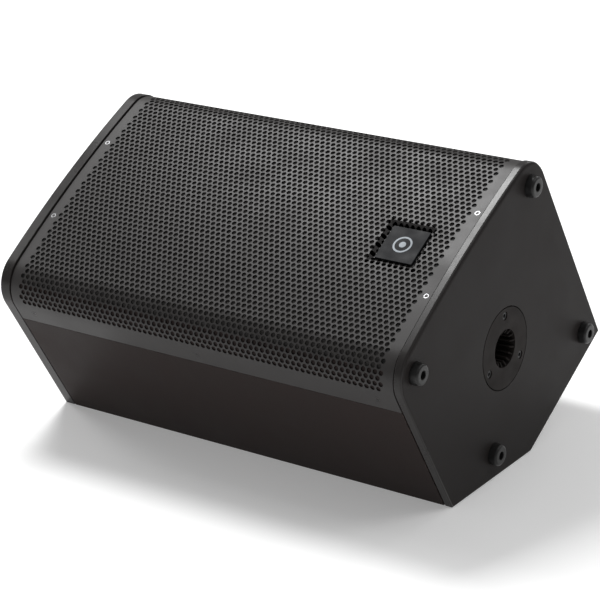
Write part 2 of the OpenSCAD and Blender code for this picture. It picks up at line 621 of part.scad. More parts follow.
module output_pins() color(brass) on_panel(output_at)
    for (a = [90, 210, 330]) rotate(a) translate([5.6, 0, -15]) cylinder(r = 1.2, h = 12.5);
module gain_pots() color(zinc) for (at = knob_at) on_panel(at) difference() {
    union() {
        translate([0, 0, -13]) cylinder(r = 8.5, h = 13 - panel_t);
        translate([0, 0, -5]) cylinder(r = 3.5, h = 8.4);
    }
    translate([0, 0, -10]) cylinder(r = 3 + fit, h = 20);
}
module gain_knob(at) color(rubber) on_panel(at) {
    difference() {
        union() {
            translate([0, 0, 3.8]) cylinder(r1 = 8.5, r2 = 7.4, h = 8);
            translate([0, 0, -8]) cylinder(r = 3, h = 12);
        }
        for (k = [0 : 11]) rotate(30 * k + 15) translate([8.9, 0, 3]) cylinder(r = 1.1, h = 10, $fn = 16);
        block([0, 5, 11.2], [1.2, 4.4, 2]);
    }
}
module gain_knob_1() gain_knob(knob_at[0]);
module gain_knob_2() gain_knob(knob_at[1]);
button_travel = 1.5;
module button_switches() color(black) for (at = button_at) on_panel(at) difference() {
    block([0, 0, -14], [11, 11, 14 - panel_t]);
    block([0, 0, -10], [5 + 2 * gap, 5 + 2 * gap, 12]);
}
module push_button(at) color("#d7d7d5") on_panel(at) {
    block([0, 0, -panel_t + button_travel + gap], [7, 7, 6]);
    block([0, 0, -10 + button_travel + gap], [5, 5, 9]);
}
module mode_button() push_button(button_at[0]);
module low_cut_button() push_button(button_at[1]);
module indicator_lights() color("#3fae5a") for (at = light_at) on_panel(at) union() {
    translate([0, 0, -6]) cylinder(r = 1.6, h = 6.8);
    translate([0, 0, -6]) cylinder(r = 2.2, h = 6 - panel_t - 0.05);
}
module mains_inlet() color(black) on_panel(inlet_at) difference() {
    union() {
        slab(26, 33, 3, 0, 2);
        block([0, 0, -25], [20, 27, 26]);
    }
    block([0, 0, -16], [17, 24.4, 20]);
}
module inlet_blades() color(brass) on_panel(inlet_at)
    for (at = [[2, 0], [-2, 7], [-2, -7]]) block([at.x, at.y, -16], [4, 1.8, 13]);
module panel_contacts() {
    output_pins();
    inlet_blades();
}
rocker_r = 13;
rocker_z = -3;
module rocker_housing() color(black) on_panel(rocker_at) difference() {
    union() {
        slab(17, 23, 1.5, 0, 2);
        block([0, 0, -16], [13, 19, 17]);
    }
    block([0, 0, -13.5], [10.2, 17.4, 20]);
    translate([-6, 0, rocker_z]) rotate([0, 90, 0]) cylinder(r = 1.2 + fit, h = 12);
}
module power_rocker() color("#9e1f1f") on_panel(rocker_at) translate([0, 0, rocker_z]) union() {
    rotate([90, 0, 90]) translate([0, 0, -4.8]) linear_extrude(9.6)
        polygon([[-7.4, 5.2], [-6.2, 7.6], [0, 5.6], [6.2, 7.6], [7.4, 5.2], [2.5, -4], [-2.5, -4]]);
    translate([-5.8, 0, 0]) rotate([0, 90, 0]) cylinder(r = 1.2, h = 11.6);
}

side_board_lower();
side_board_upper();
floor_board();
back_board();
baffle_board();
end_panel_top();
end_panel_bottom();
grille_rails();
side_brace();
damping_wadding();
grille();
grille_foam();
grille_screws();
badge();
rubber_feet();
foot_screws();
pole_socket();
pole_socket_screws();
handle_cup();
handle_grip();
countersunk_screws();
woofer_basket();
woofer_gasket();
woofer_surround();
woofer_cone();
woofer_dust_cap();
woofer_voice_coil();
woofer_spider();
woofer_top_plate();
woofer_magnet();
woofer_pole_piece();
woofer_screws();
horn();
hf_pole_piece();
hf_magnet();
hf_top_plate();
hf_diaphragm();
hf_rear_cover();
port_tubes();
amp_frame();
amp_panel();
amp_heatsink();
amp_cover();
amp_board();
power_board();
input_jacks();
input_latch_1();
input_latch_2();
output_jack();
panel_contacts();
gain_pots();
gain_knob_1();
gain_knob_2();
button_switches();
mode_button();
low_cut_button();
indicator_lights();
mains_inlet();
rocker_housing();
power_rocker();
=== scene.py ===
"""Looks of the stage monitor wedge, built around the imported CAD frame.

Outlines are drawn in millimetres in the cabinet's own frame, as in the CAD source: X along the
cabinet, Y across the front from the lower side, Z out of the front. TO_ROW scales them to metres
and tilts them onto the monitor face.
"""

import json
import math

import bmesh
import bpy
from mathutils import Matrix, Vector, noise


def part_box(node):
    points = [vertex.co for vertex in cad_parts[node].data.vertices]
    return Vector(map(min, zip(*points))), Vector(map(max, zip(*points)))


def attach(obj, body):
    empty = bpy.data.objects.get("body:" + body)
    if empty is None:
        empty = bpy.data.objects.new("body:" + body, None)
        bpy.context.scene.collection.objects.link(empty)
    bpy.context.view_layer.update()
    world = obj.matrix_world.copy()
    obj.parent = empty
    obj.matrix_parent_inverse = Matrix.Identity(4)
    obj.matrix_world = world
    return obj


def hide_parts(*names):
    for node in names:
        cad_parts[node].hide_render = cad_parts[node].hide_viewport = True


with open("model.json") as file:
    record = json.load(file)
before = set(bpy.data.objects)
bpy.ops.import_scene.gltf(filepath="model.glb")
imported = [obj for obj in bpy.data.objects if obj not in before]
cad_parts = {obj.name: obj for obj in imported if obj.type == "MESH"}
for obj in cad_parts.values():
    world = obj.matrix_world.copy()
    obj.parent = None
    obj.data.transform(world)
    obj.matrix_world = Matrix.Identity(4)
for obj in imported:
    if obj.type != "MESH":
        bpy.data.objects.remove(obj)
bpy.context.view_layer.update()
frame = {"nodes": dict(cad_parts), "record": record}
record = frame["record"]

# ---- driving dimensions, millimetres ----
MM = 0.001
TILT = math.radians(30)
CAB_W = 370.0
CAB_D = 339.0
BOW = 10.4
CORNER_R = 42.5
BOARD = 15.0
END_REBATE = 5.7
END_LIP = 11.3
TOP_LIP = 16.5
PROUD = 2.2
END_ROUND = 7.0
END_EDGE = 3.2
SEAM = 1.6
GRILLE_T = 1.2
FLANGE_H = 64.0
POCKET_W = 66.0
POCKET_H = 5.5
BADGE_W = 52.5
BADGE_T = 2.6
BADGE_X = 215.0
POLE_AT = (189.0, -164.0)
CUP_FLANGE_D = 104.5
CUP_HOLE_R = 30.4
FEET_AT = ((33.0, -26.0), (CAB_W - 33.0, -28.0), (CAB_W - 33.0, -305.0), (100.0, -264.0))
FOOT_D = 28.5
FOOT_H = 11.0
TRAY_H = 14.0
HOLE_PITCH = 8.19
HOLE_D = 6.5
HOLE_SIDES = 9
HANDLE_AT = (20.0, -170.0)
HANDLE_L = 168.0
CUT_DIST = 1e-4
WELD_DIST = 1e-4
WELD_NODE = 1e-6  # for the CAD nodes, which are in metres

floor_low, floor_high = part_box("floor_board")
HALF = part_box("end_panel_bottom")[1].x / MM
FLOOR_L = (floor_high.y - floor_low.y) / MM
SIDE_H = CAB_D - FLOOR_L * math.sin(TILT)
MID = CAB_W / 2
LIP_X = HALF - END_LIP
BOARD_X = LIP_X - SEAM
AMP_Y = (FLOOR_L * math.cos(TILT) + CAB_W) / 2

origin = Vector((0, floor_low.y - SIDE_H * MM * math.sin(TILT), SIDE_H * MM * math.cos(TILT)))
TO_ROW = Matrix.Translation(origin) @ Matrix.Rotation(TILT, 4, "X") @ Matrix.Scale(MM, 4)


def on_end(at):
    """Frame on the +X end face, Z out of it."""
    return TO_ROW @ Matrix.Translation((HALF, at[0], at[1])) @ Matrix.Rotation(math.pi / 2, 4, "Y")


def on_upper_side(x, z):
    return TO_ROW @ Matrix.Translation((x, CAB_W, z)) @ Matrix.Rotation(-math.pi / 2, 4, "X")


def on_lower_side(x, z):
    return TO_ROW @ Matrix.Translation((x, 0, z)) @ Matrix.Rotation(math.pi / 2, 4, "X")


def on_panel(x, y):
    """Frame on the floor of the amplifier's recess, Z out of the back."""
    back = TO_ROW @ Matrix.Translation((0, AMP_Y, -CAB_D)) @ Matrix.Rotation(math.pi, 4, "X")
    return back @ Matrix.Translation((x, y, -TRAY_H))


# ---- the section's front: one shallow arc and a smaller arc at each corner, all tangent ----
BOW_R = MID * MID / (2 * BOW) + BOW / 2
BOW_C = (MID, BOW - BOW_R)
CORNER_Z = BOW_C[1] + math.sqrt((BOW_R - CORNER_R) ** 2 - (MID - CORNER_R) ** 2)
BEND_A = math.atan2(CORNER_Z - BOW_C[1], CORNER_R - MID)
FLAT_L = FLANGE_H + CORNER_Z
CORNER_L = CORNER_R * (math.pi - BEND_A)
BOW_L = BOW_R * (2 * BEND_A - math.pi)
SHEET_L = 2 * FLAT_L + 2 * CORNER_L + BOW_L


def front_at(s):
    """Point and outward normal at arc length s, counted from the lower flange's edge."""
    if s > SHEET_L / 2:
        (y, z), (ny, nz) = front_at(SHEET_L - s)
        return (CAB_W - y, z), (-ny, nz)
    if s < FLAT_L:
        return (0.0, s - FLANGE_H), (-1.0, 0.0)
    if s < FLAT_L + CORNER_L:
        a, (cy, cz), r = math.pi - (s - FLAT_L) / CORNER_R, (CORNER_R, CORNER_Z), CORNER_R
    else:
        a, (cy, cz), r = BEND_A - (s - FLAT_L - CORNER_L) / BOW_R, BOW_C, BOW_R
    return (cy + r * math.cos(a), cz + r * math.sin(a)), (math.cos(a), math.sin(a))


def rear_point(i, t):
    """Rear corners of the section moved in by t: back upper, back lower, side lower."""
    if i == 0:
        return (CAB_W - t, t - CAB_D)
    if i == 1:
        return (FLOOR_L * math.cos(TILT) + t * (1 - math.cos(TILT)) / math.sin(TILT), t - CAB_D)
    return (t, t * (1 - math.sin(TILT)) / math.cos(TILT) - SIDE_H)


# ---- making pieces ----
slot_of = {s["node"]: s["material_slot"] for s in record["subparts"]}
body_of_node = {n: b for b, names in record["behaviour"]["bodies"].items() for n in names}


def finish_piece(name, mesh, node, smooth=35, material=None, stands_for=True):
    """Links a mesh as a piece that rides with a CAD node and, if asked, stands for it."""
    obj = bpy.data.objects.new(name, mesh)
    bpy.context.scene.collection.objects.link(obj)
    mesh.shade_smooth()
    mesh.set_sharp_from_angle(angle=math.radians(smooth))
    obj.data.materials.clear()
    obj.data.materials.append(material or materials[slot_of[node]])
    even = obj.modifiers.new("even", "WEIGHTED_NORMAL")
    even.keep_sharp = True
    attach(obj, body_of_node[node])
    if stands_for:
        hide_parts(node)
    return obj


def to_mesh(bm, name, matrix=TO_ROW):
    """Turns a finished bmesh into a mesh placed by matrix."""
    bmesh.ops.recalc_face_normals(bm, faces=bm.faces)
    mesh = bpy.data.meshes.new(name)
    bm.to_mesh(mesh)
    bm.free()
    mesh.transform(matrix)
    return mesh


def add_lathe(bm, profile, sides=48, matrix=Matrix()):
    """Turns an open profile of (radius, z) about Z. Points on the axis close it."""
    rings = []
    for r, z in profile:
        if r < 1e-6:
            rings.append([bm.verts.new(matrix @ Vector((0, 0, z)))])
        else:
            rings.append([bm.verts.new(matrix @ Vector((r * math.cos(a), r * math.sin(a), z)))
                          for a in (2 * math.pi * k / sides for k in range(sides))])
    for low, high in zip(rings, rings[1:]):
        for k in range(sides):
            corners = (low[k % len(low)], low[(k + 1) % len(low)],
                       high[(k + 1) % len(high)], high[k % len(high)])
            bm.faces.new(list(dict.fromkeys(corners)))
    for ring in (rings[0], rings[-1]):
        if len(ring) > 1:
            bm.faces.new(ring)


def round_rect(w, h, r, steps=6):
    """Outline of a rectangle w by h whose corners are arcs of radius r."""
    outline = []
    for quarter, (sx, sy) in enumerate(((1, 1), (-1, 1), (-1, -1), (1, -1))):
        for k in range(steps + 1):
            a = math.radians(90 * quarter + 90 * k / steps)
            outline.append((sx * (w / 2 - r) + r * math.cos(a), sy * (h / 2 - r) + r * math.sin(a)))
    return outline


def add_prism(bm, outline, z0, z1, edge=0.0, matrix=Matrix()):
    """Extrudes an outline of (x, y), with its far edge rounded by about edge."""
    levels = [(0, z0)]
    if edge:
        for a in (math.pi / 2 * k / 3 for k in range(4)):
            levels.append((edge * (1 - math.cos(a)), z1 - edge * (1 - math.sin(a))))
    else:
        levels.append((0, z1))
    rings = []
    for inset, z in levels:
        rings.append([bm.verts.new(matrix @ Vector((x - inset * nx, y - inset * ny, z)))
                      for (x, y), (nx, ny) in zip(outline, outline_normals(outline))])
    add_skin(bm, rings)


def add_skin(bm, rings):
    """Closes a solid over rings that have the same number of points."""
    n = len(rings[0])
    for low, high in zip(rings, rings[1:]):
        for k in range(n):
            bm.faces.new((low[k], low[(k + 1) % n], high[(k + 1) % n], high[k]))
    bm.faces.new(rings[0])
    bm.faces.new(rings[-1])


def outline_normals(outline):
    """Outward direction at each point of an outline that runs counterclockwise."""
    normals = []
    for k in range(len(outline)):
        (x0, y0), (x1, y1) = outline[k - 1], outline[(k + 1) % len(outline)]
        d = math.hypot(x1 - x0, y1 - y0)
        normals.append(((y1 - y0) / d, (x0 - x1) / d))
    return normals


def soften(node, width, segments=2, smooth=40):
    """The CAD node with its sharp edges rounded, as moulded and machined pieces have them."""
    bm = bmesh.new()
    bm.from_mesh(frame["nodes"][node].data)
    bmesh.ops.remove_doubles(bm, verts=bm.verts, dist=WELD_NODE)
    bmesh.ops.dissolve_limit(bm, angle_limit=math.radians(1), verts=bm.verts, edges=bm.edges)
    mesh = bpy.data.meshes.new(node + "_soft")
    bm.to_mesh(mesh)
    bm.free()
    obj = finish_piece(node + "_soft", mesh, node, smooth)
    bevel = obj.modifiers.new("round", "BEVEL")
    obj.modifiers.move(1, 0)  # the weighted normals follow the bevel
    bevel.width = width * MM
    bevel.segments = segments
    bevel.limit_method = "ANGLE"
    bevel.angle_limit = math.radians(32)
    bevel.harden_normals = False
    return obj


# ---- materials ----
class Surface:
    """Builds one procedural material around a Principled shader, in object coordinates."""

    def __init__(self, name, color, roughness, metallic=0.0, specular=0.5):
        self.mat = bpy.data.materials.new(name)
        self.mat.use_nodes = True
        self.tree = self.mat.node_tree
        self.shader = self.tree.nodes["Principled BSDF"]
        self.color, self.roughness = color, roughness
        self.shader.inputs["Base Color"].default_value = (*color, 1)
        self.shader.inputs["Roughness"].default_value = roughness
        self.shader.inputs["Metallic"].default_value = metallic
        self.shader.inputs["Specular IOR Level"].default_value = specular
        self.coord = self.tree.nodes.new("ShaderNodeTexCoord").outputs["Object"]
        self.normal = None

    def node(self, kind, **settings):
        made = self.tree.nodes.new(kind)
        for key, value in settings.items():
            setattr(made, key, value)
        return made

    def link(self, output, socket):
        self.tree.links.new(output, socket)

    def stretched(self, scale):
        mapping = self.node("ShaderNodeMapping")
        mapping.inputs["Scale"].default_value = scale
        self.link(self.coord, mapping.inputs["Vector"])
        return mapping.outputs["Vector"]

    def noise(self, size_mm, detail=2.0, rough=0.5, coord=None):
        made = self.node("ShaderNodeTexNoise")
        made.inputs["Scale"].default_value = 1 / (size_mm * MM)
        made.inputs["Detail"].default_value = detail
        made.inputs["Roughness"].default_value = rough
        self.link(coord or self.coord, made.inputs["Vector"])
        return made.outputs["Fac"]

    def cells(self, size_mm):
        made = self.node("ShaderNodeTexVoronoi")
        made.inputs["Scale"].default_value = 1 / (size_mm * MM)
        self.link(self.coord, made.inputs["Vector"])
        return made.outputs["Distance"]

    def ranged(self, value, from_low, from_high, to_low, to_high):
        made = self.node("ShaderNodeMapRange")
        limits = {"From Min": from_low, "From Max": from_high, "To Min": to_low, "To Max": to_high}
        for key, number in limits.items():
            made.inputs[key].default_value = number
        self.link(value, made.inputs["Value"])
        return made.outputs["Result"]

    def bump(self, height, strength, depth_mm):
        made = self.node("ShaderNodeBump")
        made.inputs["Strength"].default_value = strength
        made.inputs["Distance"].default_value = depth_mm * MM
        self.link(height, made.inputs["Height"])
        if self.normal is not None:
            self.link(self.normal, made.inputs["Normal"])
        self.normal = made.outputs["Normal"]
        self.link(self.normal, self.shader.inputs["Normal"])
        return self

    def rough_from(self, value, spread):
        self.link(self.ranged(value, 0.3, 0.7, self.roughness - spread, self.roughness + spread),
                  self.shader.inputs["Roughness"])
        return self

    def tint(self, value, other, low=0.35, high=0.7):
        """Mixes the colour towards other where value is high."""
        mix = self.node("ShaderNodeMix", data_type="RGBA")
        source = self.shader.inputs["Base Color"]
        if source.is_linked:
            self.link(source.links[0].from_socket, mix.inputs["A"])
        else:
            mix.inputs["A"].default_value = (*self.color, 1)
        mix.inputs["B"].default_value = (*other, 1)
        self.link(self.ranged(value, low, high, 0, 1), mix.inputs["Factor"])
        self.link(mix.outputs["Result"], source)
        return self

    def edge_wear(self, other, radius_mm=1.6, amount=0.8):
        """Lighter rubbed paint where the surface turns sharply, broken up by noise."""
        bevel = self.node("ShaderNodeBevel", samples=4)
        bevel.inputs["Radius"].default_value = radius_mm * MM
        geometry = self.node("ShaderNodeNewGeometry")
        dot = self.node("ShaderNodeVectorMath", operation="DOT_PRODUCT")
        self.link(bevel.outputs["Normal"], dot.inputs[0])
        self.link(geometry.outputs["Normal"], dot.inputs[1])
        turned = self.ranged(dot.outputs["Value"], 0.985, 0.80, 0, 1)
        patch = self.ranged(self.noise(9, 4, 0.65), 0.48, 0.62, 0, amount)
        both = self.node("ShaderNodeMath", operation="MULTIPLY")
        self.link(turned, both.inputs[0])
        self.link(patch, both.inputs[1])
        return self.tint(both.outputs["Value"], other, 0, 1)

    def done(self):
        return self.mat


def shade(color, factor):
    return tuple(min(1.0, c * factor) for c in color)


def textured_paint(name, color, roughness, grain=1.3, specular=0.4, wear=True, relief=1.0):
    """Sprayed, pebbled cabinet coating."""
    s = Surface(name, color, roughness, specular=specular)
    fine, broad = s.noise(grain, 3, 0.6), s.noise(60, 4, 0.6)
    s.bump(s.cells(grain * 1.5), 0.2 * relief, 0.16).bump(fine, 0.3 * relief, 0.2)
    s.rough_from(broad, 0.06)
    s.tint(broad, shade(color, 1.2)).tint(fine, shade(color, 0.65), 0.55, 0.75)
    if wear:
        s.edge_wear(shade(color, 4.5))
    return s.done()


def powder_coat(name, color, roughness, grain=0.7, specular=0.5, metallic=0.0):
    s = Surface(name, color, roughness, metallic, specular)
    fine, broad = s.noise(grain, 2, 0.5), s.noise(45, 3, 0.55)
    s.bump(fine, 0.25, 0.12)
    s.rough_from(broad, 0.05)
    s.tint(broad, shade(color, 1.25))
    return s.done()


def moulded(name, color, roughness, grain=0.55, specular=0.5, bump=0.2):
    s = Surface(name, color, roughness, specular=specular)
    s.bump(s.noise(grain, 2, 0.5), bump, 0.1)
    s.rough_from(s.noise(20, 3, 0.5), 0.07)
    s.tint(s.noise(28, 3, 0.6), shade(color, 1.35))
    return s.done()


def soft_rubber(name, color, roughness):
    s = Surface(name, color, roughness, specular=0.35)
    s.bump(s.noise(0.5, 3, 0.6), 0.25, 0.15)
    dust = s.noise(7, 5, 0.7)
    s.rough_from(dust, 0.1)
    s.tint(dust, shade(color, 2.0), 0.5, 0.8)
    return s.done()


def machined(name, color, roughness, along=(1, 1, 60)):
    """Metal with fine tool or brushing marks."""
    s = Surface(name, color, roughness, metallic=1.0)
    lines = s.noise(8, 3, 0.6, s.stretched(along))
    s.bump(lines, 0.12, 0.05)
    s.rough_from(lines, 0.08)
    s.tint(s.noise(14, 4, 0.65), shade(color, 0.62), 0.5, 0.8)
    return s.done()


def cloth(name, color, other, thread=0.7, bump=0.6):
    s = Surface(name, color, 0.92, specular=0.15)
    s.shader.inputs["Sheen Weight"].default_value = 0.3
    weave = s.node("ShaderNodeTexWave", wave_type="BANDS", bands_direction="X")
    weft = s.node("ShaderNodeTexWave", wave_type="BANDS", bands_direction="Y")
    for wave in (weave, weft):
        wave.inputs["Scale"].default_value = 0.16 / (thread * MM)
        wave.inputs["Distortion"].default_value = 1.5
        s.link(s.coord, wave.inputs["Vector"])
    both = s.node("ShaderNodeMath", operation="MAXIMUM")
    s.link(weave.outputs["Fac"], both.inputs[0])
    s.link(weft.outputs["Fac"], both.inputs[1])
    s.bump(both.outputs["Value"], bump, 0.3)
    s.rough_from(s.noise(6, 3, 0.6), 0.05)
    s.tint(s.noise(12, 4, 0.6), other)
    return s.done()


def pulp(name, color, grain=2.4, bump=0.5):
    """Fibrous or porous matter: paper, foam, wadding, ferrite."""
    s = Surface(name, color, 0.9, specular=0.2)
    s.bump(s.cells(grain), bump, 0.6).bump(s.noise(grain / 3, 4, 0.7), bump * 0.7, 0.3)
    s.rough_from(s.noise(9, 3, 0.6), 0.06)
    s.tint(s.noise(grain * 4, 5, 0.7), shade(color, 1.7))
    return s.done()


def plywood(name):
    color = (0.50, 0.34, 0.19)
    s = Surface(name, color, 0.62, specular=0.3)
    grain = s.noise(5, 6, 0.7, s.stretched((1, 14, 14)))
    s.bump(grain, 0.3, 0.2)
    s.rough_from(grain, 0.08)
    s.tint(grain, (0.30, 0.17, 0.08)).tint(s.noise(70, 2, 0.5), (0.62, 0.46, 0.29))
    return s.done()


def circuit(name):
    color = (0.012, 0.10, 0.045)
    s = Surface(name, color, 0.35, specular=0.5)
    brick = s.node("ShaderNodeTexBrick", offset=0.5)
    brick.inputs["Scale"].default_value = 160
    brick.inputs["Mortar Size"].default_value = 0.035
    s.link(s.coord, brick.inputs["Vector"])
    s.bump(brick.outputs["Fac"], 0.3, 0.1)
    s.rough_from(s.noise(5, 2, 0.5), 0.08)
    s.tint(brick.outputs["Fac"], (0.03, 0.22, 0.09), 0, 1)
    return s.done()


def lens(name, color):
    s = Surface(name, color, 0.2, specular=0.6)
    s.shader.inputs["Coat Weight"].default_value = 0.6
    s.bump(s.cells(0.5), 0.2, 0.1)
    s.rough_from(s.noise(1.5, 2, 0.5), 0.06)
    s.tint(s.noise(2, 2, 0.5), shade(color, 1.6))
    return s.done()


materials = {
    "cabinet_paint": textured_paint("cabinet_paint", (0.0225, 0.0165, 0.0154), 0.5, specular=0.07),
    "end_paint": textured_paint("end_paint", (0.0210, 0.0188, 0.0182), 0.42, grain=0.9, specular=0.05),
    "baffle_paint": textured_paint("baffle_paint", (0.008, 0.008, 0.008), 0.75, wear=False),
    "plywood": plywood("plywood"),
    "wadding": pulp("wadding", (0.30, 0.30, 0.31), 6.0, 0.8),
    "grille_paint": powder_coat("grille_paint", (0.030, 0.0278, 0.0272), 0.44, specular=0.28),
    "acoustic_foam": pulp("acoustic_foam", (0.035, 0.033, 0.032), 1.8, 0.6),
    "screw_steel": machined("screw_steel", (0.36, 0.36, 0.37), 0.38),
    "black_steel": powder_coat("black_steel", (0.020, 0.020, 0.021), 0.38, 0.4, metallic=0.6),
    "badge_plastic": moulded("badge_plastic", (0.012, 0.0125, 0.014), 0.55, specular=0.12, bump=0.08),
    "foot_rubber": soft_rubber("foot_rubber", (0.009, 0.0088, 0.0088), 0.38),
    "grip_rubber": soft_rubber("grip_rubber", (0.016, 0.016, 0.016), 0.7),
    "socket_plastic": moulded("socket_plastic", (0.0185, 0.0160, 0.0152), 0.5, specular=0.04),
    "moulded_plastic": moulded("moulded_plastic", (0.014, 0.014, 0.0145), 0.5),
    "basket_paint": powder_coat("basket_paint", (0.02, 0.02, 0.021), 0.45),
    "gasket_rubber": soft_rubber("gasket_rubber", (0.012, 0.012, 0.012), 0.85),
    "surround_cloth": cloth("surround_cloth", (0.015, 0.015, 0.015), (0.028, 0.028, 0.03)),
    "cone_paper": pulp("cone_paper", (0.016, 0.016, 0.017), 3.0, 0.35),
    "spider_cloth": cloth("spider_cloth", (0.36, 0.25, 0.11), (0.24, 0.15, 0.06)),
    "contact_metal": machined("contact_metal", (0.66, 0.60, 0.45), 0.3),
    "copper_wire": machined("copper_wire", (0.72, 0.32, 0.16), 0.3, (1, 1, 220)),
    "motor_steel": machined("motor_steel", (0.50, 0.50, 0.49), 0.36),
    "ferrite": pulp("ferrite", (0.035, 0.035, 0.038), 2.0, 0.25),
    "titanium": machined("titanium", (0.62, 0.61, 0.60), 0.3),
    "panel_paint": powder_coat("panel_paint", (0.022, 0.022, 0.023), 0.45),
    "heatsink_aluminium": powder_coat("heatsink_aluminium", (0.03, 0.03, 0.031), 0.36, 0.5, metallic=0.7),
    "cover_steel": machined("cover_steel", (0.55, 0.56, 0.57), 0.38),
    "circuit_board": circuit("circuit_board"),
    "knob_plastic": moulded("knob_plastic", (0.02, 0.02, 0.02), 0.42),
    "button_plastic": moulded("button_plastic", (0.50, 0.50, 0.49), 0.4, bump=0.1),
    "rocker_plastic": moulded("rocker_plastic", (0.015, 0.015, 0.015), 0.25, bump=0.08),
    "indicator_lens": lens("indicator_lens", (0.05, 0.40, 0.12)),
}
print_white = moulded("print_white", (0.62, 0.62, 0.61), 0.5, bump=0.05)
badge_mark = moulded("badge_mark", (0.34, 0.37, 0.40), 0.5, specular=0.2, bump=0.05)
end_rim = textured_paint("end_rim", (0.0210, 0.0190, 0.0184), 0.30, grain=0.9, specular=0.24,
                         relief=0.4)
# near-black painted shade for the floors of the grille screws' drive recesses
recess_painted_shade = moulded("recess_painted_shade", (0.004, 0.004, 0.004), 0.7)

for node_name, node_object in frame["nodes"].items():
    node_object.data.materials.clear()
    node_object.data.materials.append(materials[slot_of[node_name]])


# ---- grille ----
PERF_X = 277.0   # half length of the perforated field
PERF_S = 199.6   # its half width, measured round the bend
POCKET_WALL = 4.5


def hex_sheet():
    """The flat sheet as hexagonal cells in (x, s), punched where it is perforated."""
    bm = bmesh.new()
    pitch, row_step = HOLE_PITCH, HOLE_PITCH * math.sqrt(3) / 2
    rows = int(SHEET_L / 2 / row_step) + 2
    columns = int(BOARD_X / pitch) + 2
    corner_r, hole_r = pitch / math.sqrt(3), HOLE_D / 2
    for row in range(-rows, rows + 1):
        for column in range(-columns, columns + 1):
            x = (column + (0.5 if row % 2 else 0)) * pitch
            s = row * row_step + SHEET_L / 2
            hexagon = [bm.verts.new((x + corner_r * math.sin(a), s + corner_r * math.cos(a), 0))
                       for a in (math.pi / 3 * k for k in range(6))]
            punched = abs(x) < PERF_X and abs(s - SHEET_L / 2) < PERF_S
            if not punched:
                bm.faces.new(hexagon)
                continue
            hole = [bm.verts.new((x + hole_r * math.sin(a), s + hole_r * math.cos(a), 0))
                    for a in (2 * math.pi * k / HOLE_SIDES for k in range(HOLE_SIDES))]
            bridge(bm, hexagon, hole)
    bmesh.ops.remove_doubles(bm, verts=bm.verts, dist=0.05)
    return bm


def bridge(bm, outer, inner):
    """Triangles between two rings that start at the same angle."""
    i = j = 0
    n, m = len(outer), len(inner)
    while i < n or j < m:
        if j == m or (i < n and (i + 0.5) / n <= (j + 0.5) / m):
            bm.faces.new((outer[i % n], outer[(i + 1) % n], inner[j % m]))
            i += 1
        else:
            bm.faces.new((outer[i % n], inner[(j + 1) % m], inner[j % m]))
            j += 1


def cut(bm, faces, point, normal, drop=False):
    """Cuts the faces by a plane and, if asked, drops what lies outside it."""
    geometry = list({e for f in faces for e in f.edges} | {v for f in faces for v in f.verts} | set(faces))
    bmesh.ops.bisect_plane(bm, geom=geometry, plane_co=point, plane_no=normal, clear_outer=drop,
                           dist=CUT_DIST)


def make_grille():
    bm = hex_sheet()
    for point, normal in (((BOARD_X, 0, 0), (1, 0, 0)), ((-BOARD_X, 0, 0), (-1, 0, 0)),
                          ((0, SHEET_L, 0), (0, 1, 0)), ((0, 0, 0), (0, -1, 0))):
        cut(bm, list(bm.faces), point, normal, drop=True)
    middle = Vector((BADGE_X, SHEET_L / 2, 0))
    reach = POCKET_W / 2 + HOLE_PITCH
    for half in (POCKET_W / 2, POCKET_W / 2 - POCKET_WALL):
        for direction in ((1, 0, 0), (-1, 0, 0), (0, 1, 0), (0, -1, 0)):
            near = [f for f in bm.faces if abs(f.calc_center_median().x - middle.x) < reach
                    and abs(f.calc_center_median().y - middle.y) < reach]
            cut(bm, near, middle + half * Vector(direction), direction)
    for v in bm.verts:
        x, s = v.co.x, v.co.y
        (y, z), (ny, nz) = front_at(s)
        inside = POCKET_W / 2 - max(abs(x - middle.x), abs(s - middle.y))
        down = POCKET_H * min(1.0, max(0.0, inside / POCKET_WALL))
        v.co = (x, y - down * ny, z - down * nz)
    mesh = to_mesh(bm, "grille_perforated")
    grille = finish_piece("grille_perforated", mesh, "grille", 30)
    shared = [0] * len(mesh.edges)
    for loop in mesh.loops:
        shared[loop.edge_index] += 1
    for edge in mesh.edges:
        edge.use_edge_sharp |= shared[edge.index] == 1
    sheet = grille.modifiers.new("sheet", "SOLIDIFY")
    sheet.thickness = GRILLE_T * MM
    sheet.offset = -1
    return grille


make_grille()


# ---- end panels ----
RIM_CORNER = 14
RIM_BOW = 30
ROUND_STEPS = 10
REAR_ROUND = 2.5
GROOVE_EDGE = 0.5
UNDER_SHEET = 1.6
PLUG_OVERLAP = 0.3
RIM_TURN = 0.9  # faces that look more along X than this belong to the end's flat face


def rim_places():
    """Arc lengths along the front for the rim's points, from one side tangent to the other."""
    corner = [FLAT_L + CORNER_L * k / RIM_CORNER for k in range(RIM_CORNER + 1)]
    bow = [FLAT_L + CORNER_L + BOW_L * k / RIM_BOW for k in range(1, RIM_BOW)]
    return corner + bow + [SHEET_L - s for s in reversed(corner)]


def rim_round(s):
    """Depth of the round-over at arc length s: full along the front, less on the sides."""
    into_corner = (min(s, SHEET_L - s) - FLAT_L) / CORNER_L
    return END_ROUND * (0.35 + 0.65 * min(1.0, into_corner))


